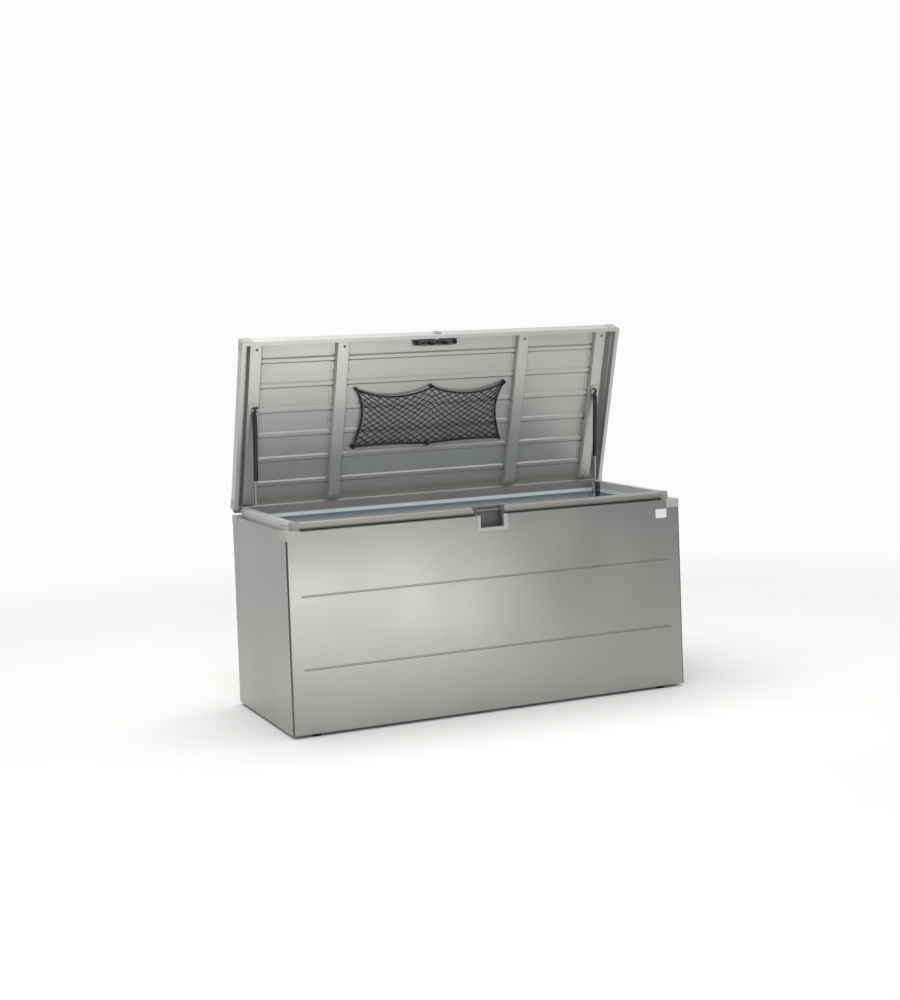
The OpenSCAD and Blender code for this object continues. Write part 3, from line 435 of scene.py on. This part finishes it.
finishOf = {
    "front_wall": "wallCoat", "back_wall": "wallCoat",
    "side_wall_left": "wallCoat", "side_wall_right": "wallCoat",
    "lid_shell": "lidCoat", "rim_front_left": "rimCoat", "rim_front_right": "rimCoat", "rim_back": "rimCoat",
    "rim_left": "paleCoat", "rim_right": "paleCoat", "floor": "zinc", "base_rails": "zinc",
    "rim_corner_left": "cornerBlock", "rim_corner_right": "cornerBlock", "grip_liner": "gripTrim",
    "label_plate": "label", "hinge_pins": "plated", "strike_plate": "plated",
    "latch_housing": "nylon", "latch_slider": "blackNylon", "net_hooks": "blackNylon",
    "lid_bumpers": "rubber", "lock_barrel": "lockMetal", "lock_plug": "lockMetal",
}
startsWith = {
    "post_": "zinc", "body_cap": "cap", "lid_cap": "cap", "stiffener": "stiffenerCoat",
    "hinge_bracket": "paleCoat", "hinge_leaf": "paleCoat", "foot_": "rubber", "strut_rod": "rod", "strut_tube": "blackPaint",
    "strut_bracket": "blackPaint", "lid_stud": "stiffenerCoat",
}
for name, node in nodes.items():
    group = next((f for start, f in startsWith.items() if name.startswith(start)), "plated")
    key = finishOf.get(name, group)
    node.data.materials.clear()
    node.data.materials.append(finishes[key])
print("finishes on", len(nodes), "nodes")

fixings = {
    "rivets": {"node": "lid_rivets", "body": "lid", "radius": 0.0034, "height": 0.0016, "recess": 0.0,
               "sink": 0.0008},
    "screws": {"node": "body_screws", "body": "box", "radius": 0.0042, "height": 0.0022, "recess": 0.0019,
               "sink": 0.0008},
}


def islands(node):
    # centre and thin axis of each separate solid in a node
    work = bmesh.new()
    work.from_mesh(node.data)
    bmesh.ops.remove_doubles(work, verts=work.verts, dist=1e-5)
    left = set(work.verts)
    found = []
    while left:
        stack = [left.pop()]
        points = []
        flat = {}
        while stack:
            v = stack.pop()
            points.append(v.co.copy())
            for f in v.link_faces:
                key = tuple(round(abs(c), 2) for c in f.normal)
                flat[key] = flat.get(key, (0, None))[0] + f.calc_area(), f.normal.copy()
            for e in v.link_edges:
                other = e.other_vert(v)
                if other in left:
                    left.remove(other)
                    stack.append(other)
        centre = sum(points, Vector()) / len(points)
        axis = max(flat.values(), key=lambda pair: pair[0])[1]
        found.append((centre, axis))
    work.free()
    return found


def domeProfile(radius, height, recess):
    # half outline of a domed head from its middle out to its foot
    points = [Vector((recess, 0, height))]
    if recess:
        points.insert(0, Vector((recess, 0, height * 0.45)))
    for i in range(1, 5):
        a = i / 4 * math.pi / 2
        points.append(Vector((max(radius * math.sin(a), recess + 0.0003 * i), 0, height * math.cos(a))))
    return points


def fixingHead(name, sizes):
    # turned head with an optional six-sided socket
    work = bmesh.new()
    count = 12
    rings = []
    for p in domeProfile(sizes["radius"], sizes["height"], sizes["recess"]):
        if p.x == 0:
            rings.append([work.verts.new(p)])
            continue
        ring = []
        for i in range(count):
            a = i * 2 * math.pi / count
            r = p.x * (0.9 if p.x <= sizes["recess"] and i % 2 else 1)
            ring.append(work.verts.new((r * math.cos(a), r * math.sin(a), p.z)))
        rings.append(ring)
    if len(rings[0]) > 1:
        work.faces.new(rings[0])
    for inner, outer in zip(rings, rings[1:]):
        for i in range(count):
            j = (i + 1) % count
            if len(inner) == 1:
                work.faces.new((inner[0], outer[i], outer[j]))
            else:
                work.faces.new((inner[i], outer[i], outer[j], inner[j]))
    work.faces.new(list(reversed(rings[-1])))
    bmesh.ops.recalc_face_normals(work, faces=work.faces)
    mesh = bpy.data.meshes.new(name)
    work.to_mesh(mesh)
    work.free()
    head = bpy.data.objects.new(name, mesh)
    scene.collection.objects.link(head)
    return head


def newTree(name, inputs):
    tree = bpy.data.node_groups.new(name, "GeometryNodeTree")
    tree.interface.new_socket("Geometry", in_out="INPUT", socket_type="NodeSocketGeometry")
    keys = {}
    for title, kind, value in inputs:
        socket = tree.interface.new_socket(title, in_out="INPUT", socket_type=kind)
        if value is not None:
            socket.default_value = value
        keys[title] = socket.identifier
    tree.interface.new_socket("Geometry", in_out="OUTPUT", socket_type="NodeSocketGeometry")
    return tree, keys, addNode(tree, "NodeGroupInput"), addNode(tree, "NodeGroupOutput")


def bake(holder, name, tree, values, keys):
    # runs the tree on holder and keeps the result as a plain mesh
    modifier = holder.modifiers.new("build", "NODES")
    modifier.node_group = tree
    for title, value in values.items():
        modifier[keys[title]] = value
    bpy.context.view_layer.update()
    shown = holder.evaluated_get(bpy.context.evaluated_depsgraph_get())
    mesh = bpy.data.meshes.new_from_object(shown)
    bpy.data.objects.remove(holder)
    piece = bpy.data.objects.new(name, mesh)
    mesh.name = name
    scene.collection.objects.link(piece)
    return piece


def headTree():
    inputs = [("Head", "NodeSocketObject", None), ("Finish", "NodeSocketMaterial", None),
              ("Turn Seed", "NodeSocketInt", 3)]
    tree, keys, given, result = newTree("fixingHeads", inputs)
    head = addNode(tree, "GeometryNodeObjectInfo", None, {"Object": given.outputs["Head"]})
    facing = addNode(tree, "GeometryNodeInputNamedAttribute", {"data_type": "FLOAT_VECTOR", "Name": "facing"})
    align = addNode(tree, "FunctionNodeAlignRotationToVector", {"axis": "Z"}, {"Vector": facing.outputs[0]})
    spin = addNode(tree, "FunctionNodeRandomValue",
                   {"data_type": "FLOAT_VECTOR", "Min": (0, 0, 0), "Max": (0, 0, 6.283)},
                   {"Seed": given.outputs["Turn Seed"]})
    asTurn = addNode(tree, "FunctionNodeEulerToRotation", None, {0: spin.outputs[0]})
    both = addNode(tree, "FunctionNodeRotateRotation", {"rotation_space": "LOCAL"},
                   {"Rotation": align.outputs[0], "Rotate By": asTurn.outputs[0]})
    placed = addNode(tree, "GeometryNodeInstanceOnPoints", None,
                     {"Points": given.outputs[0], "Instance": head.outputs["Geometry"],
                      "Rotation": both.outputs[0]})
    real = addNode(tree, "GeometryNodeRealizeInstances", None, {0: placed.outputs[0]})
    done = addNode(tree, "GeometryNodeSetMaterial", None,
                   {"Geometry": real.outputs[0], "Material": given.outputs["Finish"]})
    tree.links.new(done.outputs[0], result.inputs[0])
    return tree, keys


def makeFixings():
    tree, keys = headTree()
    lidInward = lidTurn @ Vector((0, 0, -1))
    for name, sizes in fixings.items():
        spots = islands(nodes[sizes["node"]])
        mesh = bpy.data.meshes.new(name + "Spots")
        places, faces = [], []
        for centre, axis in spots:
            if sizes["body"] == "lid":
                out = lidInward
            elif abs(axis.z) > 0.7:
                out = Vector((0, 0, 1))
            else:
                out = Vector((-1 if centre.x > 0 else 1, 0, 0))
            places.append(centre - out * sizes["sink"])
            faces += list(out)
        mesh.from_pydata(places, [], [])
        mesh.attributes.new("facing", "FLOAT_VECTOR", "POINT").data.foreach_set("vector", faces)
        holder = bpy.data.objects.new(name + "Spots", mesh)
        scene.collection.objects.link(holder)
        head = fixingHead(name + "Head", sizes)
        piece = bake(holder, name, tree, {"Head": head, "Finish": finishes["plated"]}, keys)
        bpy.data.objects.remove(head)
        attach(piece, sizes["body"])
        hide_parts(sizes["node"])
        print(name, len(spots), "heads")


makeFixings()

net = {
    "halfWidth": 0.318, "top": (0.462, 0.459), "low": (0.220, 0.215),  # fixing points from the hinge axis
    "drop": 0.0125,        # mid-thickness below the inner skin
    "topSag": 0.034, "sideDraw": 0.030, "lowDraw": 0.006,
    "across": 17, "down": 18,
    "cord": 0.0040, "knot": 0.0062, "rope": 0.0072,
    "bulge": 0.007, "stray": 0.0016, "seed": 11,
    "eyeOut": 0.0062, "eyeReach": 0.012,   # how far the rope swings out at a peg, and over what length
    "middle": 0.34, "ropeSteps": {"top": 48, "low": 48, "left": 20, "right": 20},
    "areaShare": 0.42,
}


def netEdge(side, t):
    # point on one side of the net, in (x, reach from the hinge axis)
    w = net["halfWidth"]
    if side in ("top", "low"):
        ends, middle = net[side]
        half = t * 2 if t < 0.5 else (t - 0.5) * 2
        straight = ends + (middle - ends) * (1 - abs(t - 0.5) * 2)
        sag = 4 * half * (1 - half)
        shift = -net["topSag"] * sag if side == "top" else net["lowDraw"] * sag
        return Vector((-w + 2 * w * t, straight + shift))
    x = w - net["sideDraw"] * 4 * t * (1 - t) * (0.7 + 0.6 * t)
    reach = net["low"][0] + (net["top"][0] - net["low"][0]) * t
    return Vector((x if side == "right" else -x, reach))


def netPoint(u, v):
    # fills in between the four sides
    low, top = netEdge("low", u), netEdge("top", u)
    left, right = netEdge("left", v), netEdge("right", v)
    corner = [netEdge("low", 0), netEdge("low", 1), netEdge("top", 0), netEdge("top", 1)]
    flat = low * (1 - v) + top * v + left * (1 - u) + right * u
    flat -= corner[0] * (1 - u) * (1 - v) + corner[1] * u * (1 - v)
    flat -= corner[2] * (1 - u) * v + corner[3] * u * v
    return flat


def netTree():
    inputs = [("Cord Diameter", "NodeSocketFloat", 0.002), ("Knot Size", "NodeSocketFloat", 0.004),
              ("Finish", "NodeSocketMaterial", None)]
    tree, keys, given, result = newTree("knottedNet", inputs)
    run = addNode(tree, "GeometryNodeMeshToCurve", None, {0: given.outputs[0]})
    half = addNode(tree, "ShaderNodeMath", {"operation": "MULTIPLY", 1: 0.5},
                   {0: given.outputs["Cord Diameter"]})
    ring = addNode(tree, "GeometryNodeCurvePrimitiveCircle", {"Resolution": 6}, {"Radius": half.outputs[0]})
    cords = addNode(tree, "GeometryNodeCurveToMesh", {"Fill Caps": True},
                    {"Curve": run.outputs[0], "Profile Curve": ring.outputs[0]})
    smooth = addNode(tree, "GeometryNodeSetShadeSmooth", None, {"Geometry": cords.outputs[0]})
    halfKnot = addNode(tree, "ShaderNodeMath", {"operation": "MULTIPLY", 1: 0.5},
                       {0: given.outputs["Knot Size"]})
    ball = addNode(tree, "GeometryNodeMeshIcoSphere", {"Subdivisions": 1}, {"Radius": halfKnot.outputs[0]})
    roundBall = addNode(tree, "GeometryNodeSetShadeSmooth", None, {"Geometry": ball.outputs[0]})
    knots = addNode(tree, "GeometryNodeInstanceOnPoints", {"Scale": (1.25, 1.0, 0.8)},
                    {"Points": given.outputs[0], "Instance": roundBall.outputs[0]})
    join = addNode(tree, "GeometryNodeJoinGeometry")
    tree.links.new(smooth.outputs[0], join.inputs[0])
    tree.links.new(knots.outputs[0], join.inputs[0])
    real = addNode(tree, "GeometryNodeRealizeInstances", None, {0: join.outputs[0]})
    done = addNode(tree, "GeometryNodeSetMaterial", None,
                   {"Geometry": real.outputs[0], "Material": given.outputs["Finish"]})
    tree.links.new(done.outputs[0], result.inputs[0])
    return tree, keys


def ropeTree():
    inputs = [("Rope Diameter", "NodeSocketFloat", 0.004), ("Finish", "NodeSocketMaterial", None)]
    tree, keys, given, result = newTree("borderRope", inputs)
    run = addNode(tree, "GeometryNodeMeshToCurve", None, {0: given.outputs[0]})
    half = addNode(tree, "ShaderNodeMath", {"operation": "MULTIPLY", 1: 0.5},
                   {0: given.outputs["Rope Diameter"]})
    ring = addNode(tree, "GeometryNodeCurvePrimitiveCircle", {"Resolution": 10}, {"Radius": half.outputs[0]})
    tube = addNode(tree, "GeometryNodeCurveToMesh", None,
                   {"Curve": run.outputs[0], "Profile Curve": ring.outputs[0]})
    smooth = addNode(tree, "GeometryNodeSetShadeSmooth", None, {"Geometry": tube.outputs[0]})
    real = addNode(tree, "GeometryNodeRealizeInstances", None, {0: smooth.outputs[0]})
    done = addNode(tree, "GeometryNodeSetMaterial", None,
                   {"Geometry": real.outputs[0], "Material": given.outputs["Finish"]})
    tree.links.new(done.outputs[0], result.inputs[0])
    return tree, keys


def cordFinish():
    # polyester braid over rubber: near black, dry, with slanting ribs 1.5 mm apart that catch a little light
    material, tree = newMaterial("blackBraidedElastic")
    coords = addNode(tree, "ShaderNodeTexCoord")
    braid = addNode(tree, "ShaderNodeTexWave",
                    {"wave_type": "BANDS", "bands_direction": "DIAGONAL", "Scale": 1 / 0.0047,
                                                "Distortion": 1.5}, {"Vector": coords.outputs["Object"]})
    tone = addNode(tree, "ShaderNodeMix", {"data_type": "RGBA", 6: linear("#08090A"), 7: linear("#1B1C1E")},
                   {0: braid.outputs[1]})
    sheen = addNode(tree, "ShaderNodeMapRange", {3: 0.6, 4: 0.8}, {0: braid.outputs[1]})
    bump = addNode(tree, "ShaderNodeBump", {"Strength": 0.5, "Distance": 0.0003},
                   {"Height": braid.outputs[1]})
    shader = addNode(tree, "ShaderNodeBsdfPrincipled",
                     {"IOR": 1.48, "Sheen Weight": 0.05, "Sheen Roughness": 0.5},
                     {"Base Color": tone.outputs[2], "Roughness": sheen.outputs[0],
                      "Normal": bump.outputs[0]})
    close(tree, shader)
    return material


def edgesObject(name, points, edges):
    mesh = bpy.data.meshes.new(name)
    mesh.from_pydata(points, edges, [])
    holder = bpy.data.objects.new(name, mesh)
    scene.collection.objects.link(holder)
    return holder


def makeNet():
    braid = cordFinish()
    chance = random.Random(net["seed"])
    index, points, edges = {}, [], []
    for j in range(net["down"] + 1):
        odd = j % 2
        for i in range(net["across"] + (0 if odd else 1)):
            u, v = (i + odd / 2) / net["across"], j / net["down"]
            flat = netPoint(u, v)
            inner = 0 < u < 1 and 0 < v < 1
            if inner:
                flat += Vector((chance.uniform(-1, 1), chance.uniform(-1, 1))) * net["stray"]
            loose = inner or v == 1
            lift = net["bulge"] * math.sin(math.pi * u) ** 0.5 * v * (1.35 - 0.35 * v) if loose else 0
            index[i, j] = len(points)
            points.append(onLid(flat.x, flat.y, net["drop"] + lift))
            if j:
                for k in ((i, i + 1) if odd else (i - 1, i)):
                    if (k, j - 1) in index:
                        edges.append((index[k, j - 1], index[i, j]))
    tree, keys = netTree()
    mesh = bake(edgesObject("netLines", points, edges), "netPocket", tree,
                {"Cord Diameter": net["cord"], "Knot Size": net["knot"], "Finish": braid}, keys)

    # border rope: once round the net, passing outside each fixing peg
    ends = (("top", -1), ("top", 1), ("low", 1), ("low", -1))
    pegs = [Vector((s * net["halfWidth"], net[k][0])) for k, s in ends]
    pegs += [Vector((0, net["top"][1])), Vector((0, net["low"][1]))]
    middle = Vector((0, net["middle"]))
    loop = []
    for side, flip in (("top", False), ("right", True), ("low", True), ("left", False)):
        count = net["ropeSteps"][side]
        for i in range(count):
            t = i / count
            t = 1 - t if flip else t
            p = netEdge(side, t)
            away = min(pegs, key=lambda q: (p - q).length)
            if (p - away).length < net["eyeReach"]:
                out = (away - middle).normalized()
                near = 1 - (p - away).length / net["eyeReach"]
                p = p + out * net["eyeOut"] * near
            lift = net["bulge"] * math.sin(math.pi * t) ** 0.5 if side == "top" else 0
            loop.append(onLid(p.x, p.y, net["drop"] + lift))
    count = len(loop)
    tree, keys = ropeTree()
    rope = bake(edgesObject("ropeLine", loop, [(i, (i + 1) % count) for i in range(count)]), "netRope", tree,
                {"Rope Diameter": net["rope"], "Finish": braid}, keys)
    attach(mesh, "lid")
    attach(rope, "lid")
    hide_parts("net")
    print("net", len(edges), "cords")


makeNet()
